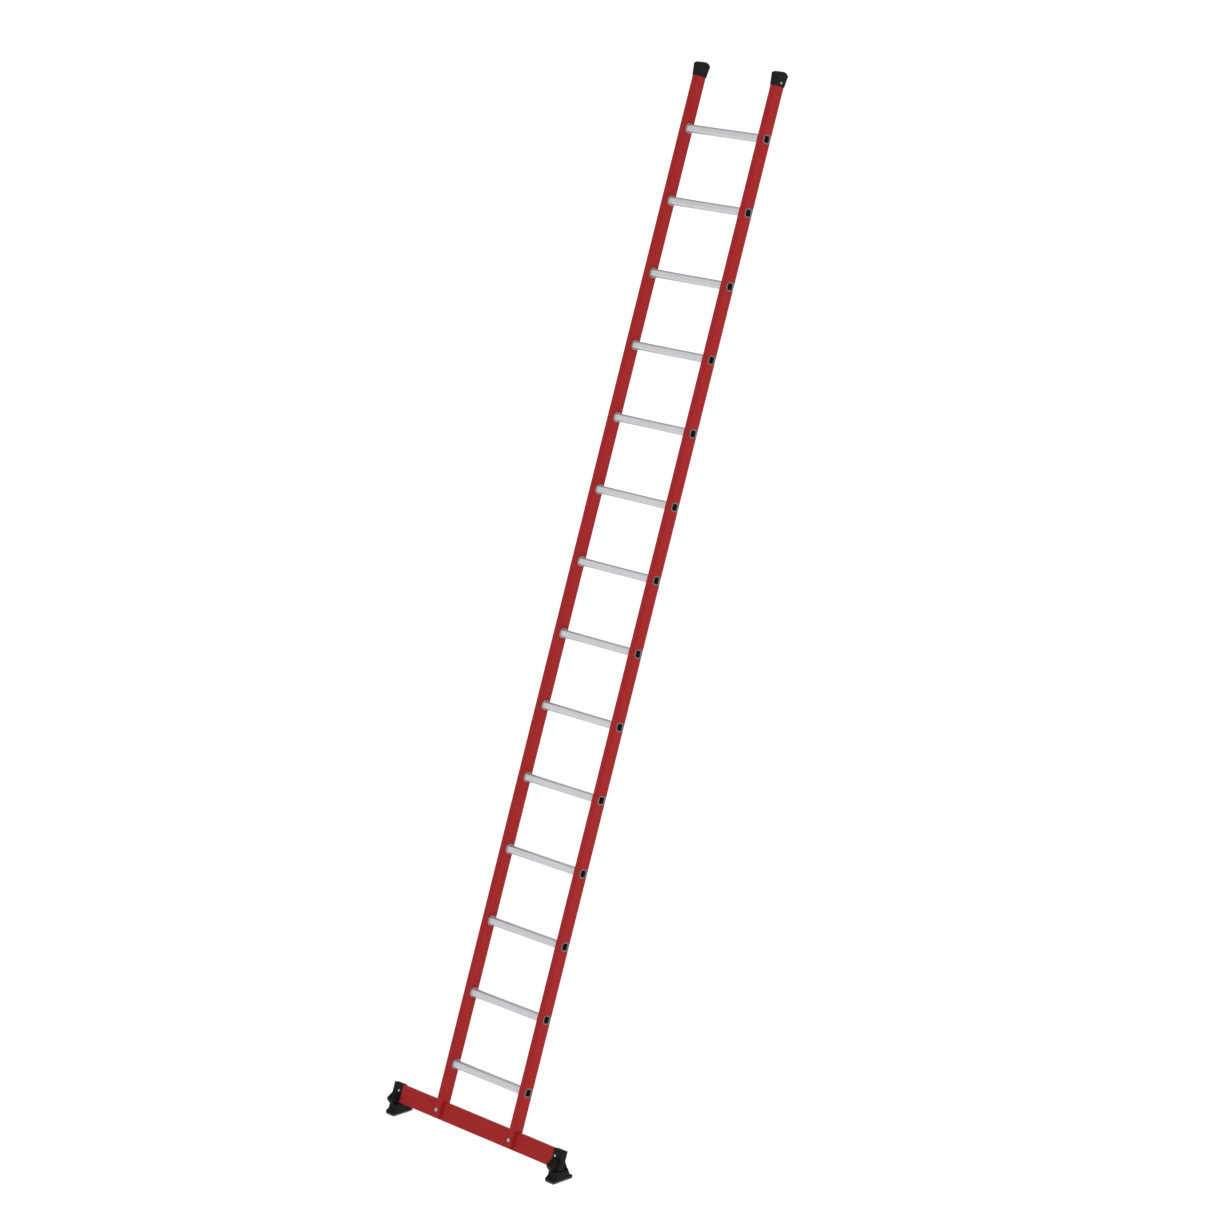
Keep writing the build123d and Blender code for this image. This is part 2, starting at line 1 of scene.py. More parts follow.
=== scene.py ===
"""Finishes of a leaning ladder, its modelled bolts and lock nuts, and the studio round it."""

import json
from math import asin, cos, pi, radians, sin, tan

import bmesh
import bpy
from bpy.props import FloatProperty, FloatVectorProperty, IntProperty, PointerProperty
from mathutils import Euler, Matrix, Vector


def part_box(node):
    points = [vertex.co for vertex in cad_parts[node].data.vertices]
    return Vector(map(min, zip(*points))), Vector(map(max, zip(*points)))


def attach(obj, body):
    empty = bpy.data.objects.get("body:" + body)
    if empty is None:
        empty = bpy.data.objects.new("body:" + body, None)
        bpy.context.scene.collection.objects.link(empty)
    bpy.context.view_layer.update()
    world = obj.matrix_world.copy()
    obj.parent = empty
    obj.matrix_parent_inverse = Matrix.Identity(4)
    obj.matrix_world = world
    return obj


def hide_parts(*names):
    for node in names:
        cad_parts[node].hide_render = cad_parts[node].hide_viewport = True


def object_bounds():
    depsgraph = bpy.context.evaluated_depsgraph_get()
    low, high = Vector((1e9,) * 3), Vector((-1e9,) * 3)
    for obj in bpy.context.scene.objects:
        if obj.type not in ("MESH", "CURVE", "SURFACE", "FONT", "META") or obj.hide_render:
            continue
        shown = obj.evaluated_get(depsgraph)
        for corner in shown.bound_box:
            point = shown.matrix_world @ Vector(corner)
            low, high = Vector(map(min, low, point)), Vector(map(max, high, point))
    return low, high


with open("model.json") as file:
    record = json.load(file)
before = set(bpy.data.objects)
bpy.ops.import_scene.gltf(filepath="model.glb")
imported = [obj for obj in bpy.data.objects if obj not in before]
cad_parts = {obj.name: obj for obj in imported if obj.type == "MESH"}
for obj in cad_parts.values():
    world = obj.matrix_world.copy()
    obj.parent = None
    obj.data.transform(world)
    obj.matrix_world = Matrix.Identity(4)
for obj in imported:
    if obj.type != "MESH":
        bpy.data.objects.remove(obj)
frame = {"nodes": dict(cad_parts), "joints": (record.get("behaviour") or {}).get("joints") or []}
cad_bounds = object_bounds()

bl_info = {
    "name": "Leaning ladder",
    "version": (1, 0, 0),
    "blender": (4, 5, 0),
    "location": "3D View > Sidebar > Ladder",
    "description": "Finishes a leaning ladder and sets up a studio round it",
    "category": "Object",
}

# Lengths are in metres. Distances along and across a rung start from its middle.
CORNER_RADIUS = 0.008  # of a rung's section
CORNER_CENTRE = 0.007  # to the centre of each corner
BORE_MARGIN = 0.0015  # a surface this far inside the corners belongs to the bore
BORE_MOUTH = (0.2165, 0.2205)  # where the oxide and painted shade of the bore fade out
FLARE_START = 0.2199  # where a flared end stands past its stile
BEAD_RISE = (0.0002, 0.001)  # past the corners, where the section swells to a bead
TREAD_FADE = (0.04, 0.17)  # where the worn tread fades out along a rung
TREAD_HEIGHT = (0.011, 0.0145)  # where the worn tread begins up a rung
STILE_HALF_DEPTH = 0.0225
BAR_HALF_DEPTH = 0.010
BAR_HALF_HEIGHT = 0.035
PAST_THE_ENDS = 10  # half length that keeps the edge mask off the ends of a stile

# Bolt heads and nuts, as shares of their own measures, and the room round the shank
CHAMFER_CIRCLE = 0.95  # flat face, against the width across flats
CHAMFER_REACH = 1.02  # widest part of the cone, against the corners
CHAMFER_SLOPE = radians(30)
NUT_BODY = 0.74  # hexagon, against the height
NUT_COLLAR = 0.44  # collar's radius, against the width across flats
NUT_LIP = 0.07  # collar's rounding, against the width across flats
POCKET_ROOM = 0.0011
RING_ROOM = 0.00105
THREAD_DEPTH = 0.6  # against the pitch
CREASE_ANGLE = radians(28)  # surfaces that meet at more than this stay sharp

# Opaque colours
SCRATCHED_RED = (0.50, 0.09, 0.09, 1)
RUBBED_RED = (0.46, 0.05, 0.055, 1)
# painted shade that darkens the rungs' beads by the stiles and their flared ends
BEAD_PAINTED_SHADE = (0.15, 0.13, 0.125, 1)
# oxide inside the rungs' bores, deepened with painted shade
BORE_OXIDE_AND_PAINTED_SHADE = (0.012, 0.012, 0.012, 1)
DUST = (0.21, 0.195, 0.175, 1)
PLATING_TINGE = (0.62, 0.58, 0.47, 1)
WHITE = (1, 1, 1, 1)
HORIZON_SKY = (1.25, 1.25, 1.25, 1)
OVERHEAD_SKY = (0.62, 0.62, 0.63, 1)

# Soft lamps: azimuth, elevation and distance from the middle of the ladder
KEY_PLACE = (radians(68), radians(12), 7.5)
FILL_PLACE = (radians(-25), radians(22), 8.0)
LAMP_SIZE = 5.0

# --- the ladder's own axes, from its joints -------------------------------------------------------
# Ladder axes: X along the rungs, Y from the climbing side to the back, Z up the stiles, and zero in
# the middle of the lowest rung.
joints = {joint["name"]: joint for joint in frame["joints"]}
depth_axis = Vector(joints["roll_right"]["axis"])
lean = asin(-depth_axis.z)
first_rung = sum(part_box("rung_01"), Vector()) / 2
second_rung = sum(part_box("rung_02"), Vector()) / 2
rung_pitch = (second_rung - first_rung).length
feet = [Vector(joints[f"pitch_{side}"]["pos_m"]) for side in ("left", "right")]
bar_middle = (feet[0] + feet[1]) / 2
bar_drop = (first_rung - bar_middle).length

stile_low, stile_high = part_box("stile_right")
stile_middle_x = (stile_low.x + stile_high.x) / 2
stile_width = stile_high.x - stile_low.x
bar_half_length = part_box("crossbar")[1].x


# --- sizes and colours that a user may change -----------------------------------------------------
def colour(name, description, default):
    settings = {"name": name, "description": description, "default": default}
    return FloatVectorProperty(**settings, subtype="COLOR", min=0, max=1)


def length(name, description, default):
    settings = {"name": name, "description": description, "default": default}
    return FloatProperty(**settings, unit="LENGTH", min=0)


def strength(name, description, default):
    return FloatProperty(name=name, description=description, default=default, min=0)


def power(name, description, default):
    return FloatProperty(name=name, description=description, default=default, unit="POWER", min=0)


def angle(name, description, degrees):
    settings = {"name": name, "description": description, "default": radians(degrees)}
    return FloatProperty(**settings, subtype="ANGLE")


class LadderFinishes(bpy.types.PropertyGroup):
    red: colour("Red", "Fibreglass of the stiles and the bar", (0.335, 0.0112, 0.0116))
    aluminium: colour("Aluminium", "Satin metal of the rungs", (0.595, 0.609, 0.624))
    black: colour("Black", "Moulded plastic of the caps and feet", (0.0086, 0.0086, 0.0089))
    rubber: colour("Rubber", "Soles under the feet", (0.095, 0.095, 0.093))
    zinc: colour("Zinc", "Plated bolts, nuts, washers and screws", (0.43, 0.435, 0.44))
    oxide: colour("Black oxide", "Dark steel of the pins in the feet", (0.045, 0.045, 0.047))
    rivet: colour("Rivet", "Aluminium of the blind rivets", (0.36, 0.36, 0.36))
    nylon: colour("Nylon", "Locking ring in each nut", (0.06, 0.10, 0.22))


class LadderFasteners(bpy.types.PropertyGroup):
    shank_diameter: length("Shank diameter", "Outside of the thread", 0.008)
    thread_pitch: length("Thread pitch", "Distance from one thread crest to the next", 0.00125)
    across_flats: length("Across flats", "Width of the bolt heads and nuts", 0.013)
    head_height: length("Head height", "Thickness of a bolt head", 0.0053)
    nut_height: length("Nut height", "Thickness of a lock nut with its collar", 0.008)
    tail: length("Tail", "Thread that stands past the nut", 0.003)
    washer_diameter: length("Washer diameter", "Outside of the washers", 0.016)
    segments: IntProperty(
        name="Segments", description="Faces round each turned surface", default=64, min=12
    )


class LadderStudio(bpy.types.PropertyGroup):
    azimuth: angle("Azimuth", "Turn of the camera round the ladder", 46.819)
    elevation: angle("Elevation", "Height of the camera as an angle", 14.661)
    distance: length("Distance", "From the camera to the middle of the ladder", 14.678)
    lens: FloatProperty(
        name="Lens", description="Focal length in millimetres", default=116.35, min=1
    )
    floor: colour("Floor", "Colour of the studio floor", (0.35, 0.35, 0.35))
    glow: strength("Glow", "Light that the floor gives off", 0.85)
    aim_right: length("Aim right", "Target, to the right of the ladder's middle", 0.0033)
    aim_up: length("Aim up", "Target, above the ladder's middle", 0.0036)
    floor_radius: length("Floor radius", "Size of the round floor", 150)
    sky: strength("Sky", "Strength of the soft light all round", 0.85)
    key: power("Key", "Power of the main lamp", 150)
    fill: power("Fill", "Power of the fill lamp", 50)


# --- helpers for shader nodes ---------------------------------------------------------------------
def add(tree, kind, inputs=None, **settings):
    """New shader node, with its settings and its inputs' values or the sockets that feed them."""
    node = tree.nodes.new(kind)
    for name, value in settings.items():
        setattr(node, name, value)
    for key, value in (inputs or {}).items():
        if isinstance(value, bpy.types.NodeSocket):
            tree.links.new(value, node.inputs[key])
        else:
            node.inputs[key].default_value = value
    return node


def calculate(tree, operation, *values):
    """Result of a Math node on numbers or sockets."""
    return add(tree, "ShaderNodeMath", dict(enumerate(values)), operation=operation).outputs[0]


def remap(tree, value, from_range, to_range, smooth=False):
    """Result of a Map Range node, clamped."""
    inputs = {0: value, 1: from_range[0], 2: from_range[1], 3: to_range[0], 4: to_range[1]}
    shape = "SMOOTHSTEP" if smooth else "LINEAR"
    return add(tree, "ShaderNodeMapRange", inputs, interpolation_type=shape).outputs[0]


def mix(tree, factor, first, second, blend="MIX"):
    """Colour mixed from two colours or sockets."""
    inputs = {0: factor, 6: first, 7: second}
    return add(tree, "ShaderNodeMix", inputs, data_type="RGBA", blend_type=blend).outputs[2]


def tint(tree, tone, mask, amount, colour):
    """Tone mixed towards a colour where a mask is high, by up to an amount."""
    return mix(tree, calculate(tree, "MULTIPLY", mask, amount), tone, colour)


def vector_math(tree, operation, *values):
    """Result of a Vector Math node on vectors or sockets."""
    return add(tree, "ShaderNodeVectorMath", dict(enumerate(values)), operation=operation).outputs[0]


def noise(tree, vector, scale, detail=2.0, roughness=0.5):
    """Value of a noise texture."""
    inputs = {"Vector": vector, "Scale": scale, "Detail": detail, "Roughness": roughness}
    return add(tree, "ShaderNodeTexNoise", inputs).outputs["Fac"]


def new_group(name, inputs, outputs):
    """Empty shader node group with its sockets, and its two end nodes."""
    tree = bpy.data.node_groups.new(name, "ShaderNodeTree")
    for title, kind, default in inputs:
        socket = tree.interface.new_socket(title, in_out="INPUT", socket_type="NodeSocket" + kind)
        if default is not None:
            socket.default_value = default
    for title in outputs:
        tree.interface.new_socket(title, in_out="OUTPUT", socket_type="NodeSocketFloat")
    return tree, tree.nodes.new("NodeGroupInput"), tree.nodes.new("NodeGroupOutput")


def use_group(tree, name, output, **inputs):
    """Output of a shader node group, placed with its own values."""
    node = tree.nodes.new("ShaderNodeGroup")
    node.node_tree = bpy.data.node_groups[name]
    for key, value in inputs.items():
        socket = node.inputs[key.replace("_", " ").capitalize()]
        if isinstance(value, bpy.types.NodeSocket):
            tree.links.new(value, socket)
        else:
            socket.default_value = value
    return node.outputs[output]


# --- shared shader effects ------------------------------------------------------------------------
def make_grain_group():
    """Streaks along one axis: coarse bands of tone with fine fibres on top."""
    inputs = [
        ("Vector", "Vector", None),
        ("Stretch", "Vector", (1, 1, 1)),
        ("Fineness", "Float", 1.0),
    ]
    tree, start, end = new_group("grain", inputs, ["Bands", "Fibres"])
    stretch = vector_math(tree, "MULTIPLY", start.outputs[0], start.outputs[1])
    coarse = calculate(tree, "MULTIPLY", start.outputs[2], 130.0)
    fine = calculate(tree, "MULTIPLY", start.outputs[2], 900.0)
    bands = noise(tree, stretch, coarse, 3.0, 0.6)
    fibres = noise(tree, stretch, fine, 2.0, 0.7)
    tree.links.new(remap(tree, bands, (0.3, 0.7), (0, 1)), end.inputs["Bands"])
    tree.links.new(remap(tree, fibres, (0.25, 0.75), (0, 1)), end.inputs["Fibres"])


def make_mottle_group():
    """Cloudy patches in two sizes."""
    inputs = [("Vector", "Vector", None), ("Scale", "Float", 20.0)]
    tree, start, end = new_group("mottle", inputs, ["Patches"])
    large = noise(tree, start.outputs[0], start.outputs[1], 3.0, 0.55)
    finer = calculate(tree, "MULTIPLY", start.outputs[1], 7.3)
    small = noise(tree, start.outputs[0], finer, 2.0, 0.5)
    both = add(tree, "ShaderNodeMix", {0: 0.3, 2: large, 3: small}).outputs[0]
    tree.links.new(remap(tree, both, (0.32, 0.68), (0, 1)), end.inputs["Patches"])


def make_scuff_group():
    """Sparse short scratches in loose clusters, and rubbed spots."""
    inputs = [("Vector", "Vector", None), ("Amount", "Float", 0.3)]
    tree, start, end = new_group("scuffs", inputs, ["Scratches", "Rubs"])
    vector = start.outputs[0]
    threshold = calculate(tree, "SUBTRACT", 0.8, calculate(tree, "MULTIPLY", start.outputs[1], 0.2))
    clusters = remap(tree, noise(tree, vector, 32.0, 2.0), (0.5, 0.62), (0, 1), smooth=True)
    drift = vector_math(tree, "MULTIPLY", noise(tree, vector, 11.0, 1.0), (0, 0.03, 0.03))
    wander = vector_math(tree, "ADD", vector, drift)
    marks = []
    for turn in (0.5, -1.1, 1.9):
        inputs = {"Vector": wander, "Angle": turn}
        turned = add(tree, "ShaderNodeVectorRotate", inputs, rotation_type="X_AXIS").outputs[0]
        lines = noise(tree, vector_math(tree, "MULTIPLY", turned, (60, 60, 2.5)), 14.0, 1.0)
        marks.append(calculate(tree, "GREATER_THAN", lines, threshold))
    scratches = calculate(tree, "MAXIMUM", calculate(tree, "MAXIMUM", *marks[:2]), marks[2])
    scratches = calculate(tree, "MULTIPLY", scratches, clusters)
    rubs = remap(tree, noise(tree, vector, 9.0, 4.0, 0.65), (0.55, 0.75), (0, 1), smooth=True)
    tree.links.new(scratches, end.inputs["Scratches"])
    tree.links.new(calculate(tree, "MULTIPLY", rubs, start.outputs[1]), end.inputs["Rubs"])


def make_edge_group():
    """Mask along the edges of a box that stands on both sides of the ladder's middle."""
    inputs = [
        ("Vector", "Vector", None),
        ("Centre", "Vector", (0, 0, 0)),
        ("Half", "Vector", (1, 1, 1)),
        ("Width", "Float", 0.003),
    ]
    tree, start, end = new_group("box edges", inputs, ["Edges"])
    vector, centre, half, width = start.outputs[:4]
    off_centre = vector_math(tree, "SUBTRACT", vector_math(tree, "ABSOLUTE", vector), centre)
    inward = vector_math(tree, "SUBTRACT", half, vector_math(tree, "ABSOLUTE", off_centre))
    parts = add(tree, "ShaderNodeSeparateXYZ", {0: inward}).outputs
    smaller = calculate(tree, "MINIMUM", parts[0], parts[1])
    larger = calculate(tree, "MAXIMUM", parts[0], parts[1])
    nearest_edge = calculate(tree, "MAXIMUM", smaller, calculate(tree, "MINIMUM", larger, parts[2]))
    ragged = noise(tree, vector, 260.0, 3.0, 0.6)
    reach = calculate(tree, "MULTIPLY", width, calculate(tree, "ADD", ragged, 0.4))
    closeness = calculate(tree, "SUBTRACT", 1.0, calculate(tree, "DIVIDE", nearest_edge, reach))
    tree.links.new(remap(tree, closeness, (0, 1), (0, 1), smooth=True), end.inputs["Edges"])


def make_pebble_group():
    """Fine pebbled grain of moulded plastic and rubber."""
    inputs = [("Vector", "Vector", None), ("Size", "Float", 0.0008)]
    tree, start, end = new_group("pebble", inputs, ["Height"])
    scale = calculate(tree, "DIVIDE", 1.0, start.outputs[1])
    inputs = {"Vector": start.outputs[0], "Scale": scale}
    cells = add(tree, "ShaderNodeTexVoronoi", inputs, feature="SMOOTH_F1")
    fine = noise(tree, start.outputs[0], calculate(tree, "MULTIPLY", scale, 2.0), 2.0)
    height = calculate(tree, "ADD", cells.outputs["Distance"], calculate(tree, "MULTIPLY", fine, 0.5))
    tree.links.new(height, end.inputs["Height"])


# --- materials ------------------------------------------------------------------------------------
def new_material(name, **shader):
    """Material with a Principled BSDF. Returns it, its tree, the shader and ladder coordinates."""
    material = bpy.data.materials.new(name)
    material.use_nodes = True
    tree = material.node_tree
    tree.nodes.clear()
    principled = add(tree, "ShaderNodeBsdfPrincipled")
    for title, value in shader.items():
        principled.inputs[title.replace("_", " ")].default_value = value
    output = add(tree, "ShaderNodeOutputMaterial")
    tree.links.new(principled.outputs[0], output.inputs[0])
    place = -(Matrix.Rotation(lean, 3, "X") @ first_rung)
    coordinates = add(tree, "ShaderNodeTexCoord").outputs["Object"]
    inputs = {"Vector": coordinates, "Location": place, "Rotation": Euler((lean, 0, 0))}
    axes = add(tree, "ShaderNodeMapping", inputs, vector_type="POINT").outputs[0]
    return material, tree, principled, axes


def bump(tree, principled, *layers):
    """Feeds the shader's normal from layers of (height, distance in metres, strength)."""
    normal = None
    for height, distance, strength in layers:
        inputs = {"Height": height, "Distance": distance, "Strength": strength}
        node = add(tree, "ShaderNodeBump", inputs)
        if normal is not None:
            tree.links.new(normal, node.inputs["Normal"])
        normal = node.outputs[0]
    tree.links.new(normal, principled.inputs["Normal"])


def scaled(tint, factor):
    """Opaque colour made lighter or darker."""
    return (*[min(1.0, part * factor) for part in tint], 1.0)


def make_red(name, stretch, centre, half):
    """Pultruded fibreglass: streaks along the profile, cloudy gloss, and edges rubbed paler."""
    red = tuple(bpy.context.scene.ladder_finishes.red)
    material, tree, shader, axes = new_material(name, Specular_IOR_Level=0.12)
    bands = use_group(tree, "grain", "Bands", vector=axes, stretch=stretch, fineness=1.0)
    fibres = use_group(tree, "grain", "Fibres", vector=axes, stretch=stretch, fineness=1.0)
    patches = use_group(tree, "mottle", "Patches", vector=axes, scale=14.0)
    edges = use_group(tree, "box edges", "Edges", vector=axes, centre=centre, half=half, width=0.0022)
    scratches = use_group(tree, "scuffs", "Scratches", vector=axes, amount=0.35)
    rubs = use_group(tree, "scuffs", "Rubs", vector=axes, amount=0.35)
    tone = mix(tree, bands, scaled(red, 0.93), scaled(red, 1.06))
    tone = tint(tree, tone, fibres, 0.25, scaled(red, 1.18))
    tone = tint(tree, tone, patches, 0.18, scaled(red, 0.85))
    tone = tint(tree, tone, scratches, 0.22, SCRATCHED_RED)
    tone = tint(tree, tone, edges, 0.12, RUBBED_RED)
    tree.links.new(tone, shader.inputs["Base Color"])
    gloss = remap(tree, patches, (0, 1), (0.48, 0.60))
    gloss = calculate(tree, "ADD", gloss, calculate(tree, "MULTIPLY", rubs, 0.15))
    tree.links.new(gloss, shader.inputs["Roughness"])
    bump(tree, shader, (bands, 0.00006, 0.35), (fibres, 0.00003, 0.5))
    return material


def make_rung_metal():
    """Satin extruded aluminium with a tread rubbed brighter in the middle, painted shade on the beads and
    flared ends, and a dull bore darkened by oxide and painted shade.
    """
    metal = tuple(bpy.context.scene.ladder_finishes.aluminium)
    material, tree, shader, axes = new_material("rung_aluminium", Metallic=0.9)
    stretch = (0.01, 1.0, 1.0)
    bands = use_group(tree, "grain", "Bands", vector=axes, stretch=stretch, fineness=2.5)
    fibres = use_group(tree, "grain", "Fibres", vector=axes, stretch=stretch, fineness=3.0)
    patches = use_group(tree, "mottle", "Patches", vector=axes, scale=35.0)
    across, deep, high = add(tree, "ShaderNodeSeparateXYZ", {0: axes}).outputs[:3]
    local_high = calculate(tree, "WRAP", high, rung_pitch / 2, -rung_pitch / 2)
    section = add(tree, "ShaderNodeCombineXYZ", {1: deep, 2: local_high}).outputs[0]
    corner = (0, CORNER_CENTRE, CORNER_CENTRE)
    section = vector_math(tree, "SUBTRACT", vector_math(tree, "ABSOLUTE", section), corner)
    section = vector_math(tree, "MAXIMUM", section, (0, 0, 0))
    outward = add(tree, "ShaderNodeVectorMath", {0: section}, operation="LENGTH").outputs["Value"]
    inside = calculate(tree, "LESS_THAN", outward, CORNER_RADIUS - BORE_MARGIN)
    along = calculate(tree, "ABSOLUTE", across)
    past_mouth = remap(tree, along, BORE_MOUTH, (1, 0), smooth=True)
    bore = calculate(tree, "MULTIPLY", inside, past_mouth)
    tread = remap(tree, along, TREAD_FADE, (1, 0), smooth=True)
    worn = calculate(tree, "MULTIPLY", tread, remap(tree, local_high, TREAD_HEIGHT, (0, 1)))
    tone = mix(tree, bands, scaled(metal, 0.93), scaled(metal, 1.05))
    tone = tint(tree, tone, patches, 0.25, scaled(metal, 0.86))
    tone = tint(tree, tone, worn, 0.35, scaled(metal, 1.2))
    # Painted shade: the beads by the stiles and the flared ends past them are darkened towards a dark grey.
    bead = remap(tree, outward, [CORNER_RADIUS + rise for rise in BEAD_RISE], (0, 1))
    flare = calculate(tree, "GREATER_THAN", along, FLARE_START)
    bead_and_flare_shade = calculate(tree, "MAXIMUM", calculate(tree, "MULTIPLY", bead, 0.8), flare)
    tone = tint(tree, tone, bead_and_flare_shade, 0.9, BEAD_PAINTED_SHADE)
    # Oxide with painted shade: the bore inside the rung is turned near black.
    tone = mix(tree, bore, tone, BORE_OXIDE_AND_PAINTED_SHADE)
    tree.links.new(tone, shader.inputs["Base Color"])
    tree.links.new(remap(tree, bore, (0, 1), (0.9, 0.0)), shader.inputs["Metallic"])
    gloss = remap(tree, patches, (0, 1), (0.36, 0.5))
    gloss = calculate(tree, "SUBTRACT", gloss, calculate(tree, "MULTIPLY", worn, 0.1))
    gloss = calculate(tree, "MAXIMUM", gloss, calculate(tree, "MULTIPLY", bore, 0.9))
    tree.links.new(gloss, shader.inputs["Roughness"])
    bump(tree, shader, (bands, 0.00003, 0.4), (fibres, 0.00001, 0.6))
    return material


def make_black_plastic():
    """Matt moulded plastic with a pebbled grain, faint flow marks and paler scuffs."""
    black = tuple(bpy.context.scene.ladder_finishes.black)
    material, tree, shader, axes = new_material("black_plastic", Specular_IOR_Level=0.08)
    patches = use_group(tree, "mottle", "Patches", vector=axes, scale=60.0)
    pebbles = use_group(tree, "pebble", "Height", vector=axes, size=0.0007)
    rubs = use_group(tree, "scuffs", "Rubs", vector=axes, amount=0.8)
    scratches = use_group(tree, "scuffs", "Scratches", vector=axes, amount=0.5)
    tone = mix(tree, patches, scaled(black, 0.85), scaled(black, 1.25))
    tone = tint(tree, tone, rubs, 0.25, scaled(black, 2.6))
    tone = tint(tree, tone, scratches, 0.3, scaled(black, 3.5))
    tree.links.new(tone, shader.inputs["Base Color"])
    gloss = remap(tree, patches, (0, 1), (0.55, 0.68))
    gloss = calculate(tree, "SUBTRACT", gloss, calculate(tree, "MULTIPLY", rubs, 0.12))
    tree.links.new(gloss, shader.inputs["Roughness"])
    bump(tree, shader, (pebbles, 0.00008, 0.45))
    return material


def make_rubber():
    """Grey rubber with a fine tooth, dusty on its lowest edges."""
    rubber = tuple(bpy.context.scene.ladder_finishes.rubber)
    material, tree, shader, axes = new_material("sole_rubber", Specular_IOR_Level=0.3)
    patches = use_group(tree, "mottle", "Patches", vector=axes, scale=90.0)
    pebbles = use_group(tree, "pebble", "Height", vector=axes, size=0.0005)
    upright = add(tree, "ShaderNodeTexCoord").outputs["Object"]
    height = add(tree, "ShaderNodeSeparateXYZ", {0: upright}).outputs[2]
    ground = remap(tree, height, (0.0, 0.0035), (1, 0), smooth=True)
    dust = calculate(tree, "MULTIPLY", ground, remap(tree, patches, (0, 1), (0.1, 0.35)))
    tone = mix(tree, patches, scaled(rubber, 0.9), scaled(rubber, 1.12))
    tone = mix(tree, dust, tone, DUST)
    tree.links.new(tone, shader.inputs["Base Color"])
    tree.links.new(remap(tree, patches, (0, 1), (0.72, 0.88)), shader.inputs["Roughness"])
    bump(tree, shader, (pebbles, 0.00008, 0.5))
    return material


def make_zinc():
    """Zinc plating with cloudy gloss and a faint warm tinge."""
    zinc = tuple(bpy.context.scene.ladder_finishes.zinc)
    material, tree, shader, axes = new_material("zinc_plate", Metallic=1.0)
    patches = use_group(tree, "mottle", "Patches", vector=axes, scale=240.0)
    tinge = use_group(tree, "mottle", "Patches", vector=axes, scale=60.0)
    tone = mix(tree, patches, scaled(zinc, 0.86), scaled(zinc, 1.1))
    tone = tint(tree, tone, tinge, 0.2, PLATING_TINGE)
    tree.links.new(tone, shader.inputs["Base Color"])
    tree.links.new(remap(tree, patches, (0, 1), (0.24, 0.42)), shader.inputs["Roughness"])
    bump(tree, shader, (patches, 0.00003, 0.3))
    return material


def make_dark_steel():
    """Black-oxide steel, rubbed to a duller grey in patches."""
    oxide = tuple(bpy.context.scene.ladder_finishes.oxide)
    material, tree, shader, axes = new_material("dark_steel", Metallic=1.0)
    patches = use_group(tree, "mottle", "Patches", vector=axes, scale=260.0)
    rubs = use_group(tree, "scuffs", "Rubs", vector=axes, amount=0.6)
    tone = mix(tree, patches, scaled(oxide, 0.8), scaled(oxide, 1.25))
    tone = tint(tree, tone, rubs, 0.4, scaled(oxide, 2.5))
    tree.links.new(tone, shader.inputs["Base Color"])
    tree.links.new(remap(tree, patches, (0, 1), (0.38, 0.52)), shader.inputs["Roughness"])
    bump(tree, shader, (patches, 0.00003, 0.3))
    return material


def make_rivet_metal():
    """Bright aluminium rivet heads with fine handling marks."""
    metal = tuple(bpy.context.scene.ladder_finishes.rivet)
    material, tree, shader, axes = new_material("rivet_aluminium", Metallic=1.0)
    patches = use_group(tree, "mottle", "Patches", vector=axes, scale=300.0)
    scratches = use_group(tree, "scuffs", "Scratches", vector=axes, amount=0.6)
    tone = mix(tree, patches, scaled(metal, 0.88), scaled(metal, 1.1))
    tree.links.new(tone, shader.inputs["Base Color"])
    tree.links.new(remap(tree, patches, (0, 1), (0.28, 0.42)), shader.inputs["Roughness"])
    bump(tree, shader, (patches, 0.00003, 0.3), (scratches, 0.00002, 0.4))
    return material


def make_nylon():
    """Smooth nylon of the locking rings."""
    nylon = tuple(bpy.context.scene.ladder_finishes.nylon)
    material, tree, shader, axes = new_material("nylon", Specular_IOR_Level=0.5)
    patches = use_group(tree, "mottle", "Patches", vector=axes, scale=400.0)
    tone = mix(tree, patches, scaled(nylon, 0.9), scaled(nylon, 1.1))
    tree.links.new(tone, shader.inputs["Base Color"])
    tree.links.new(remap(tree, patches, (0, 1), (0.3, 0.4)), shader.inputs["Roughness"])
    return material


def finish_nodes(material, *names):
    """Gives CAD nodes one material in every slot."""
    for name in names:
        node = frame["nodes"][name]
        for slot in node.material_slots:
            slot.material = material


# --- mesh helpers ---------------------------------------------------------------------------------
def lathe(profile, segments):
    """Closed solid turned round Z from (radius, height) pairs that start and end on the axis."""
    shape = bmesh.new()
    verts = [shape.verts.new((radius, 0, height)) for radius, height in profile]
    edges = [shape.edges.new(pair) for pair in zip(verts, verts[1:])]
    turn = {"axis": (0, 0, 1), "cent": (0, 0, 0), "angle": 2 * pi}
    bmesh.ops.spin(shape, geom=verts + edges, steps=segments, use_merge=True, **turn)
    bmesh.ops.remove_doubles(shape, verts=shape.verts, dist=1e-7)
    bmesh.ops.recalc_face_normals(shape, faces=shape.faces)
    return shape


def hexagon(across_flats, height):
    """Hexagonal prism that stands on Z = 0."""
    shape = bmesh.new()
    corner_radius = across_flats / 2 / cos(pi / 6)
    bmesh.ops.create_circle(shape, cap_ends=True, segments=6, radius=corner_radius)
    raised = bmesh.ops.extrude_face_region(shape, geom=list(shape.faces))["geom"]
    verts = [item for item in raised if isinstance(item, bmesh.types.BMVert)]
    bmesh.ops.translate(shape, verts=verts, vec=(0, 0, height))
    bmesh.ops.recalc_face_normals(shape, faces=shape.faces)
    return shape


def new_piece(name, shape):
    """Object from a bmesh, which is then freed."""
    mesh = bpy.data.meshes.new(name)
    shape.to_mesh(mesh)
    shape.free()
    piece = bpy.data.objects.new(name, mesh)
    bpy.context.scene.collection.objects.link(piece)
    return piece


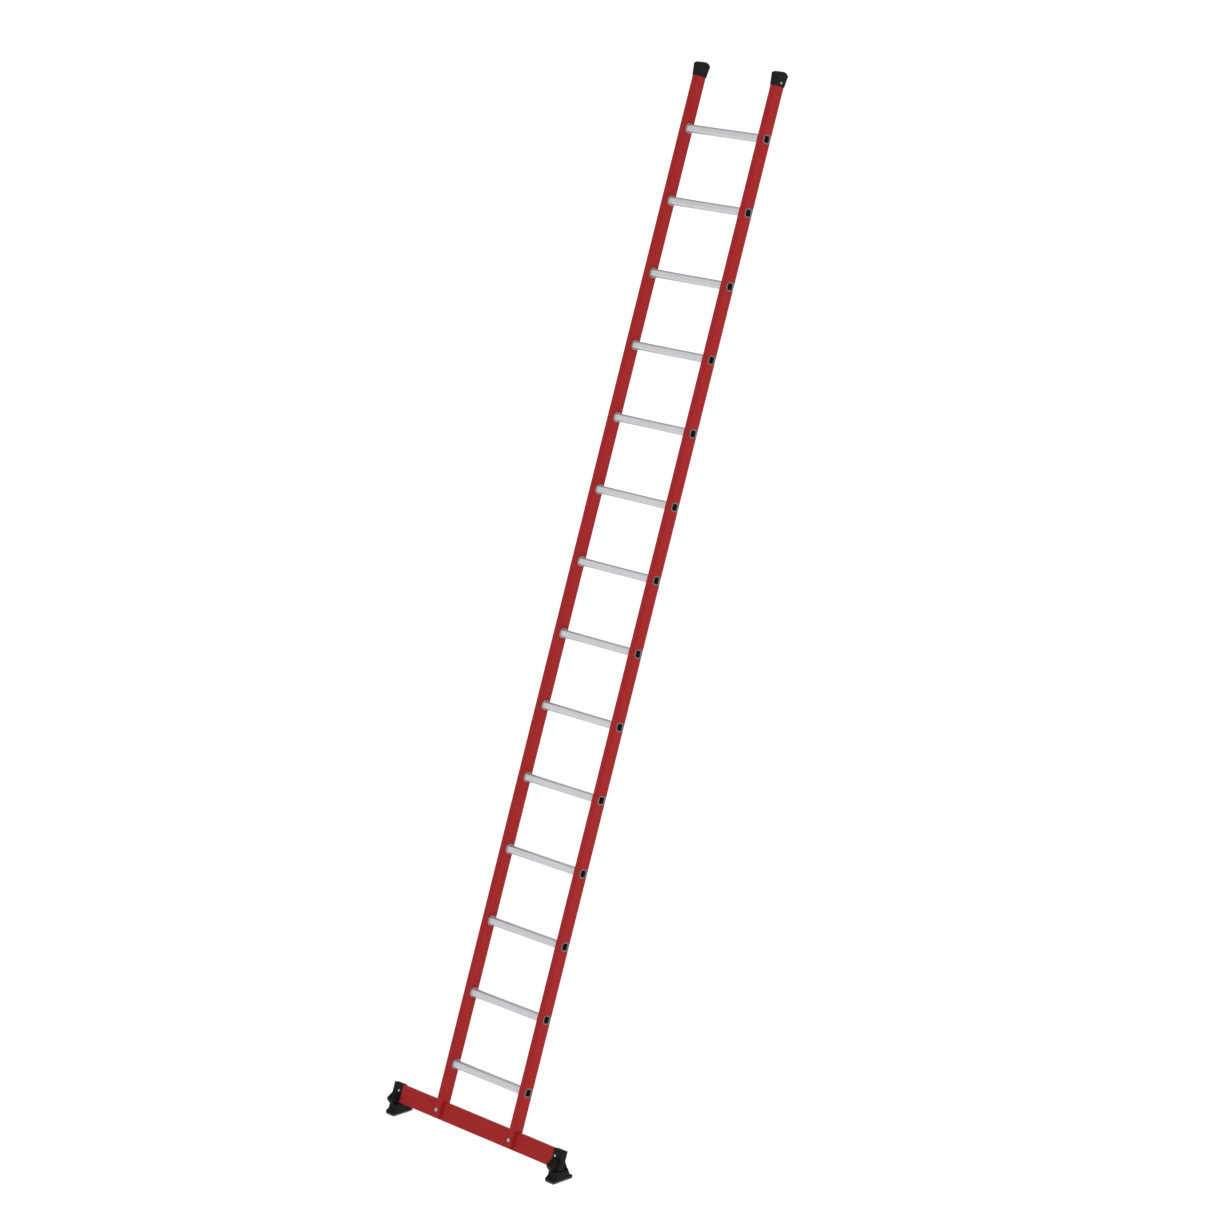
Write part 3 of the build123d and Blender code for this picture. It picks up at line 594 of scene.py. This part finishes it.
def carve(piece, tool, operation):
    """Joins, cuts or intersects the piece with the tool, and removes the tool."""
    modifier = piece.modifiers.new("carve", "BOOLEAN")
    modifier.object = tool
    modifier.operation = operation
    modifier.solver = "EXACT"
    result = piece.evaluated_get(bpy.context.evaluated_depsgraph_get())
    mesh = bpy.data.meshes.new_from_object(result)
    piece.modifiers.clear()
    piece.data = mesh
    bpy.data.objects.remove(tool)


def settle(piece, placement, *materials):
    """Moves the mesh into place, shades it smooth up to its creases, and gives it its materials."""
    piece.data.transform(placement)
    piece.data.materials.clear()
    for material in materials:
        piece.data.materials.append(material)
    piece.data.shade_smooth()
    piece.data.set_sharp_from_angle(angle=CREASE_ANGLE)


def chamfered_hexagon(name, across_flats, height, segments, both_ends=False):
    """Hexagonal prism whose corners are turned down to a cone at the far end, or at both ends."""
    corner_radius = across_flats / 2 / cos(pi / 6)
    flat_radius = across_flats / 2 * CHAMFER_CIRCLE
    cone_radius = corner_radius * CHAMFER_REACH
    rise = (cone_radius - flat_radius) * tan(CHAMFER_SLOPE)
    profile = [(0, height), (flat_radius, height), (cone_radius, height - rise)]
    if both_ends:
        profile += [(cone_radius, rise), (flat_radius, 0), (0, 0)]
    else:
        profile += [(cone_radius, 0), (0, 0)]
    piece = new_piece(name, hexagon(across_flats, height))
    carve(piece, new_piece("cone", lathe(profile, segments)), "INTERSECT")
    return piece


def thread_profile(radius, pitch, start, end):
    """Profile of a threaded rod from a plain shank at start to a chamfered tip at end."""
    root = radius - THREAD_DEPTH * pitch
    profile = [(0, start), (radius * 0.985, start)]
    crests = int((end - start) / pitch) - 1
    first = end - (crests + 0.5) * pitch
    for number in range(crests):
        level = first + number * pitch
        profile += [(root, level), (radius, level + 0.42 * pitch), (radius, level + 0.58 * pitch)]
    profile += [(root, first + crests * pitch), (root, end), (0, end)]
    return profile


# --- operators ------------------------------------------------------------------------------------
class LADDER_OT_shared_effects(bpy.types.Operator):
    """Build the shader effects that the finishes share"""

    bl_idname = "ladder.shared_effects"
    bl_label = "Shared effects"

    def execute(self, context):
        make_grain_group()
        make_mottle_group()
        make_scuff_group()
        make_edge_group()
        make_pebble_group()
        return {"FINISHED"}


class LADDER_OT_finish_stiles(bpy.types.Operator):
    """Give the stiles their red fibreglass"""

    bl_idname = "ladder.finish_stiles"
    bl_label = "Stiles"

    def execute(self, context):
        centre = (stile_middle_x, 0, 0)
        half = (stile_width / 2, STILE_HALF_DEPTH, PAST_THE_ENDS)
        material = make_red("red_fibreglass_stile", (1, 1, 0.008), centre, half)
        finish_nodes(material, "stile_left", "stile_right")
        return {"FINISHED"}


class LADDER_OT_finish_bar(bpy.types.Operator):
    """Give the stabiliser bar its red fibreglass"""

    bl_idname = "ladder.finish_bar"
    bl_label = "Stabiliser bar"

    def execute(self, context):
        centre = (0, 0, bar_drop)
        half = (bar_half_length, BAR_HALF_DEPTH, BAR_HALF_HEIGHT)
        material = make_red("red_fibreglass_bar", (0.008, 1, 1), centre, half)
        finish_nodes(material, "crossbar")
        return {"FINISHED"}


class LADDER_OT_finish_rungs(bpy.types.Operator):
    """Give the rungs their satin aluminium"""

    bl_idname = "ladder.finish_rungs"
    bl_label = "Rungs"

    def execute(self, context):
        rungs = [name for name in frame["nodes"] if name.startswith("rung_")]
        finish_nodes(make_rung_metal(), *rungs)
        return {"FINISHED"}


class LADDER_OT_finish_plastics(bpy.types.Operator):
    """Give the caps and feet their black plastic and the soles their rubber"""

    bl_idname = "ladder.finish_plastics"
    bl_label = "Caps and feet"

    def execute(self, context):
        black = make_black_plastic()
        rubber = make_rubber()
        for side in ("left", "right"):
            for name in ("top_cap", "foot_socket", "foot_saddle", "shoe"):
                finish_nodes(black, f"{name}_{side}")
            finish_nodes(rubber, f"sole_{side}")
        return {"FINISHED"}


class LADDER_OT_finish_small_parts(bpy.types.Operator):
    """Give the rivets, washers, sleeves, pins and screws their metals"""

    bl_idname = "ladder.finish_small_parts"
    bl_label = "Rivets, pins and washers"

    def execute(self, context):
        zinc = make_zinc()
        dark_steel = make_dark_steel()
        finish_nodes(make_rivet_metal(), "cap_rivets", "socket_rivets")
        finish_nodes(zinc, "bolt_washers", "spacer_sleeves", "sole_screws_left", "sole_screws_right")
        for side in ("left", "right"):
            finish_nodes(dark_steel, f"roll_pin_{side}", f"guide_pins_{side}")
        return {"FINISHED"}


class LADDER_OT_make_bolts(bpy.types.Operator):
    """Model the hexagon bolts through the stiles, with their lock nuts"""

    bl_idname = "ladder.make_bolts"
    bl_label = "Bolts and lock nuts"

    def execute(self, context):
        sizes = context.scene.ladder_fasteners
        zinc = bpy.data.materials["zinc_plate"]
        nylon = make_nylon()
        low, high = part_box("bolt_washers")
        middle = (low + high) / 2
        washer_radius = sizes.washer_diameter / 2
        bolt_x = high.x - washer_radius
        face = ((high.y - low.y) / 2 - washer_radius * sin(lean)) / cos(lean)
        for side, sign in (("left", -1), ("right", 1)):
            centre = Vector((sign * bolt_x, middle.y, middle.z))
            forward = depth_axis.to_track_quat("Z", "X").to_matrix().to_4x4()
            backward = (-depth_axis).to_track_quat("Z", "X").to_matrix().to_4x4()
            bolt = self.make_bolt(f"crossbar_bolt_{side}", sizes, 2 * face)
            settle(bolt, Matrix.Translation(centre - face * depth_axis) @ backward, zinc)
            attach(bolt, "ladder")
            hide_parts("crossbar_bolts")
            nut = self.make_nut(f"lock_nut_{side}", sizes)
            settle(nut, Matrix.Translation(centre + face * depth_axis) @ forward, zinc)
            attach(nut, "ladder")
            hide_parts("bolt_nuts")
            ring = self.make_ring(f"nut_insert_{side}", sizes)
            settle(ring, Matrix.Translation(centre + face * depth_axis) @ forward, nylon)
            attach(ring, "ladder")
            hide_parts("bolt_nuts")
        return {"FINISHED"}

    def make_bolt(self, name, sizes, grip):
        """Bolt with its head above Z = 0 and its shank below."""
        radius = sizes.shank_diameter / 2
        reach = grip + sizes.nut_height + sizes.tail
        bolt = chamfered_hexagon(name, sizes.across_flats, sizes.head_height, sizes.segments)
        thread = thread_profile(radius, sizes.thread_pitch, -sizes.head_height / 2, reach)
        profile = [(across, -along) for across, along in thread]
        carve(bolt, new_piece("shank", lathe(profile, sizes.segments)), "UNION")
        return bolt

    def make_nut(self, name, sizes):
        """Nut that stands on Z = 0, with a rounded collar round its locking ring."""
        radius = sizes.shank_diameter / 2
        body = sizes.nut_height * NUT_BODY
        collar = sizes.across_flats * NUT_COLLAR
        lip = sizes.across_flats * NUT_LIP
        nut = chamfered_hexagon(name, sizes.across_flats, body, sizes.segments, both_ends=True)
        turns = [radians(90 * step / 8) for step in range(9)]
        dome = [(collar - lip + lip * cos(turn), sizes.nut_height - lip + lip * sin(turn)) for turn in turns]
        profile = [(0, body / 2), (collar, body / 2), *dome, (0, sizes.nut_height)]
        carve(nut, new_piece("collar", lathe(profile, sizes.segments)), "UNION")
        seat = sizes.nut_height - lip * 0.6
        pocket = radius + POCKET_ROOM
        hole = [(0, -0.001), (radius, -0.001), (radius, body), (pocket, body), (pocket, seat)]
        hole += [(radius + 0.0006, sizes.nut_height + 0.0001), (0, sizes.nut_height + 0.0001)]
        carve(nut, new_piece("hole", lathe(hole, sizes.segments)), "DIFFERENCE")
        return nut

    def make_ring(self, name, sizes):
        """Nylon ring held in the nut's collar."""
        radius = sizes.shank_diameter / 2
        bottom = sizes.nut_height * NUT_BODY + 0.00005
        top = sizes.nut_height - sizes.across_flats * NUT_LIP * 0.7
        outer = radius + RING_ROOM
        profile = [(0, bottom), (outer, bottom), (outer, top), (0, top)]
        core = [(0, 0), (radius, 0), (radius, 2 * top), (0, 2 * top)]
        ring = new_piece(name, lathe(profile, sizes.segments))
        carve(ring, new_piece("core", lathe(core, sizes.segments)), "DIFFERENCE")
        return ring


class LADDER_OT_make_studio(bpy.types.Operator):
    """Set up the floor, the soft light and the camera"""

    bl_idname = "ladder.make_studio"
    bl_label = "Studio"

    def execute(self, context):
        studio = context.scene.ladder_studio
        middle = (Vector(cad_bounds[0]) + Vector(cad_bounds[1])) / 2
        self.make_floor(studio)
        self.make_sky(context.scene, studio)
        self.make_lamp("key_lamp", middle, KEY_PLACE, studio.key)
        self.make_lamp("fill_lamp", middle, FILL_PLACE, studio.fill)
        self.make_camera(context.scene, studio, middle)
        context.scene.view_settings.view_transform = "Standard"
        return {"FINISHED"}

    def make_floor(self, studio):
        """Round pale matt floor that gives off an even glow."""
        shape = bmesh.new()
        bmesh.ops.create_circle(shape, cap_ends=True, segments=96, radius=studio.floor_radius)
        floor = new_piece("studio_floor", shape)
        material = bpy.data.materials.new("studio_floor")
        material.use_nodes = True
        shader = material.node_tree.nodes["Principled BSDF"]
        shader.inputs["Base Color"].default_value = (*studio.floor, 1)
        shader.inputs["Roughness"].default_value = 0.9
        shader.inputs["Specular IOR Level"].default_value = 0.1
        shader.inputs["Emission Color"].default_value = WHITE
        shader.inputs["Emission Strength"].default_value = studio.glow
        floor.data.materials.append(material)

    def make_sky(self, scene, studio):
        """Soft light all round, brighter at the horizon than overhead."""
        world = bpy.data.worlds.new("studio_sky")
        world.use_nodes = True
        tree = world.node_tree
        background = tree.nodes["Background"]
        direction = add(tree, "ShaderNodeTexCoord").outputs["Generated"]
        height = add(tree, "ShaderNodeSeparateXYZ", {0: direction}).outputs[2]
        haze = remap(tree, height, (0.02, 0.2), (0, 1), smooth=True)
        overhead = remap(tree, height, (0.1, 0.75), (0, 1), smooth=True)
        shade = mix(tree, haze, HORIZON_SKY, WHITE)
        shade = mix(tree, overhead, shade, OVERHEAD_SKY)
        tree.links.new(shade, background.inputs["Color"])
        background.inputs["Strength"].default_value = studio.sky
        scene.world = world

    def make_lamp(self, name, target, place, power):
        """Square soft lamp that faces the ladder from an angle round it."""
        lamp = bpy.data.lights.new(name, "AREA")
        lamp.shape = "SQUARE"
        lamp.size = LAMP_SIZE
        lamp.energy = power
        piece = bpy.data.objects.new(name, lamp)
        bpy.context.scene.collection.objects.link(piece)
        self.aim(piece, target, *place)

    def make_camera(self, scene, studio, target):
        """Camera with a long lens, aimed beside the middle of the ladder."""
        camera = bpy.data.cameras.new("camera")
        camera.lens = studio.lens
        camera.clip_end = 500
        piece = bpy.data.objects.new("camera", camera)
        scene.collection.objects.link(piece)
        self.aim(piece, target, studio.azimuth, studio.elevation, studio.distance)
        right, up, _ = piece.rotation_euler.to_matrix().col
        piece.location += studio.aim_right * right + studio.aim_up * up
        scene.camera = piece

    def aim(self, piece, target, azimuth, elevation, distance):
        """Places a lamp or camera round the target and turns it to face it. Azimuth 0 looks along +Y."""
        gaze = Vector((-sin(azimuth) * cos(elevation), cos(azimuth) * cos(elevation), -sin(elevation)))
        piece.location = target - distance * gaze
        piece.rotation_euler = gaze.to_track_quat("-Z", "Y").to_euler()


class LADDER_PT_panel(bpy.types.Panel):
    """Every step of the ladder's finish, in order"""

    bl_idname = "LADDER_PT_panel"
    bl_label = "Leaning ladder"
    bl_space_type = "VIEW_3D"
    bl_region_type = "UI"
    bl_category = "Ladder"

    def draw(self, context):
        for operator in OPERATORS:
            self.layout.operator(operator.bl_idname)
        scene = context.scene
        for group in (scene.ladder_finishes, scene.ladder_fasteners, scene.ladder_studio):
            box = self.layout.box()
            for name in group.__annotations__:
                box.prop(group, name)


OPERATORS = (
    LADDER_OT_shared_effects,
    LADDER_OT_finish_stiles,
    LADDER_OT_finish_bar,
    LADDER_OT_finish_rungs,
    LADDER_OT_finish_plastics,
    LADDER_OT_finish_small_parts,
    LADDER_OT_make_bolts,
    LADDER_OT_make_studio,
)
CLASSES = (LadderFinishes, LadderFasteners, LadderStudio, *OPERATORS, LADDER_PT_panel)


def register():
    for item in CLASSES:
        bpy.utils.register_class(item)
    bpy.types.Scene.ladder_finishes = PointerProperty(type=LadderFinishes)
    bpy.types.Scene.ladder_fasteners = PointerProperty(type=LadderFasteners)
    bpy.types.Scene.ladder_studio = PointerProperty(type=LadderStudio)


def unregister():
    del bpy.types.Scene.ladder_studio
    del bpy.types.Scene.ladder_fasteners
    del bpy.types.Scene.ladder_finishes
    for item in reversed(CLASSES):
        bpy.utils.unregister_class(item)


def main():
    register()
    bpy.ops.ladder.shared_effects()
    bpy.ops.ladder.finish_stiles()
    bpy.ops.ladder.finish_bar()
    bpy.ops.ladder.finish_rungs()
    bpy.ops.ladder.finish_plastics()
    bpy.ops.ladder.finish_small_parts()
    bpy.ops.ladder.make_bolts()
    bpy.ops.ladder.make_studio()


if __name__ == "__main__":
    main()
